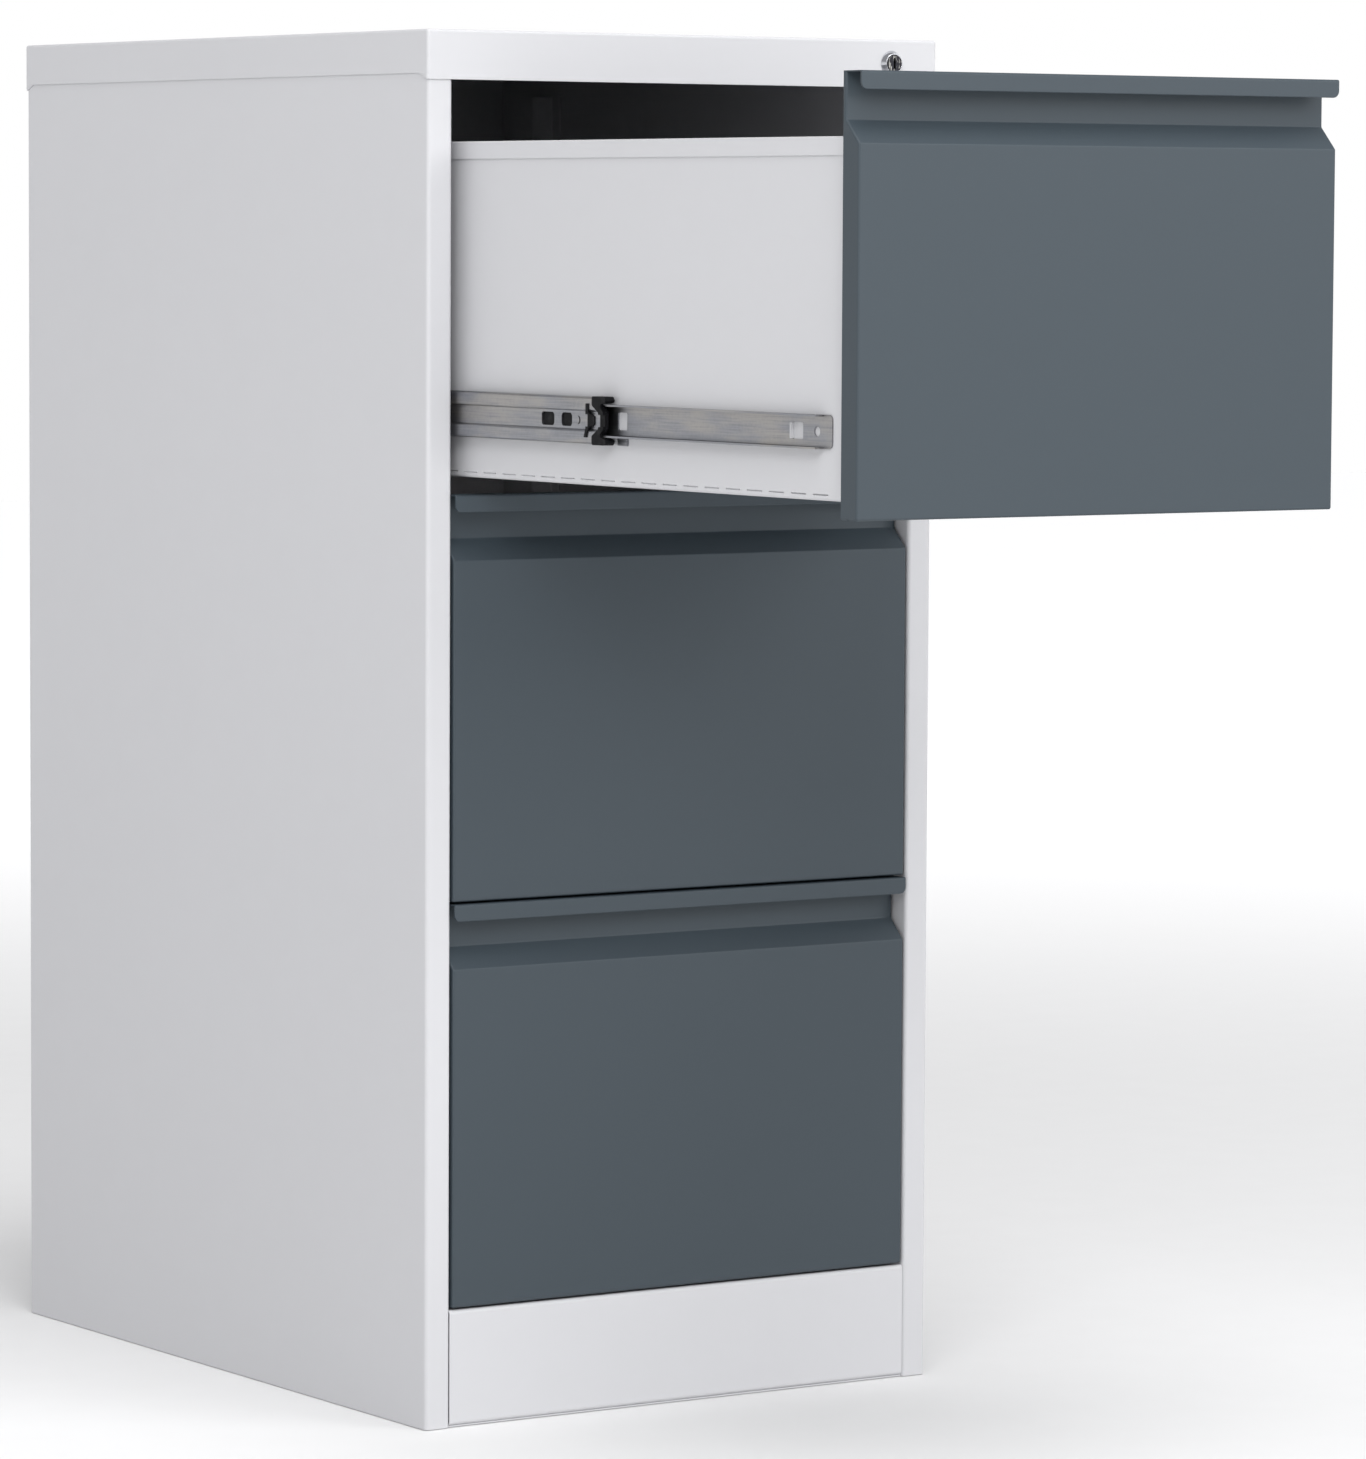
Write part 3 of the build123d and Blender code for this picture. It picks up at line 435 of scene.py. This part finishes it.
FLOOR_HALF = 14.0
FLOOR_DROP = 0.0005  # how far it lies under the cabinet's feet
FLOOR_WASH = (1.5, 5.0)  # distances from the middle between which the floor whitens
FLOOR_GRAIN = 0.05  # length of one grain
FLOOR_ROUGH = 0.8
NEAR_FLOOR = ((0.78, 0.78, 0.78, 1), (0.8, 0.8, 0.8, 1))
FAR_FLOOR = (0.98, 0.98, 0.98, 1)
FAR_GLOW = (0.2, 0.2, 0.2, 1)  # lifts the far floor to the white of the surround
NO_GLOW = (0, 0, 0, 1)
HORIZON = (1, 1, 1, 1)
ZENITH = (0.4, 0.4, 0.41, 1)
SKY_BAND = (0.04, 0.36)  # sines of the heights between which the surround darkens


def pale_floor(point):
    """Pale near the cabinet, and whiter with the distance from the middle."""
    x, y, _ = point.axes()
    far = (x * x + y * y).of("SQRT").step(*FLOOR_WASH)
    near = point.noise(FLOOR_GRAIN, 2.0).mix(*NEAR_FLOOR)
    return {
        "Base Color": far.mix(near, FAR_FLOOR),
        "Roughness": FLOOR_ROUGH,
        "Emission Color": far.mix(NO_GLOW, FAR_GLOW),
        "Emission Strength": 1.0,
    }


floor_line = np.linspace(-FLOOR_HALF, FLOOR_HALF, 3)
floor_y, floor_x = np.meshgrid(floor_line, floor_line)
floor = grid_mesh("floor", np.stack([floor_x, floor_y, np.full_like(floor_x, -FLOOR_DROP)], axis=-1))
floor.data.materials.append(material("floor", pale_floor))

surround = bpy.data.worlds.new("surround")
bpy.context.scene.world = surround
surround.use_nodes = True
sky = Wire(surround.node_tree, None)
height = sky.node("TexCoord").axes()[2]
shade = height.step(*SKY_BAND).mix(HORIZON, ZENITH)
surround.node_tree.links.new(shade.socket, surround.node_tree.nodes["Background"].inputs["Color"])


# Lamps: soft boxes on stands to the left and right of the front, a small one above the open drawer, and a
# weak wide light from high in front.

SKYLIGHT_POWER = 1.35
SKYLIGHT_SPREAD = math.radians(40)
SKYLIGHT_SHINES = (0.1, 0.36, -1)


def hang(name, light, place, towards):
    """Hang a light at a place, shining in a direction."""
    held = bpy.data.objects.new(name, light)
    bpy.context.scene.collection.objects.link(held)
    held.location = place
    held.rotation_euler = Vector(towards).to_track_quat("-Z", "Y").to_euler()


def soft_box(name, place, aim, width, height, power):
    """Rectangular soft lamp at a place, turned to face a point."""
    light = bpy.data.lights.new(name, "AREA")
    light.shape = "RECTANGLE"
    light.size = width
    light.size_y = height
    light.energy = power
    hang(name, light, place, Vector(aim) - Vector(place))


soft_box("key_lamp", (-2.3, -3.4, 3.0), (0, -0.3, 0.5), 2.4, 1.8, 94)
soft_box("fill_lamp", (3.3, -5.25, 3.1), (0, -0.3, 0.4), 3.6, 2.7, 138)
soft_box("top_lamp", (-0.1, -1.35, 2.6), (0, -0.3, 1.0), 1.2, 0.7, 6)

skylight = bpy.data.lights.new("skylight", "SUN")
skylight.energy = SKYLIGHT_POWER
skylight.angle = SKYLIGHT_SPREAD
hang("skylight", skylight, (0, 0, 0), SKYLIGHT_SHINES)


# Camera: a long lens to the front left of the cabinet, a little above the middle of its height.
# Its place, turn and focal length were solved from the cabinet's straight edges in the photo.

AZIMUTH = math.radians(-33.55)
ELEVATION = math.radians(4.43)
ROLL = math.radians(0.29)
DISTANCE = 5.279
FOCAL_PIXELS = 6541
LONG_SIDE = 1459
SENSOR = 36.0
FAR_CLIP = 100
TARGET = Vector((0.2043, 0, 0.4809))

level = math.cos(ELEVATION)
back = Vector((math.sin(AZIMUTH) * level, -math.cos(AZIMUTH) * level, math.sin(ELEVATION)))
level_right = Vector((0, 0, 1)).cross(back).normalized()
level_up = back.cross(level_right)
right = math.cos(ROLL) * level_right + math.sin(ROLL) * level_up
up = math.cos(ROLL) * level_up - math.sin(ROLL) * level_right
lens_place = TARGET + back * DISTANCE

camera = bpy.data.cameras.new("camera")
camera.sensor_width = SENSOR
camera.lens = FOCAL_PIXELS / LONG_SIDE * SENSOR
camera.clip_end = FAR_CLIP
viewer = bpy.data.objects.new("camera", camera)
bpy.context.scene.collection.objects.link(viewer)
viewer.matrix_world = Matrix((
    (right.x, up.x, back.x, lens_place.x),
    (right.y, up.y, back.y, lens_place.y),
    (right.z, up.z, back.z, lens_place.z),
    (0, 0, 0, 1),
))
bpy.context.scene.camera = viewer
bpy.context.scene.view_settings.view_transform = "Standard"
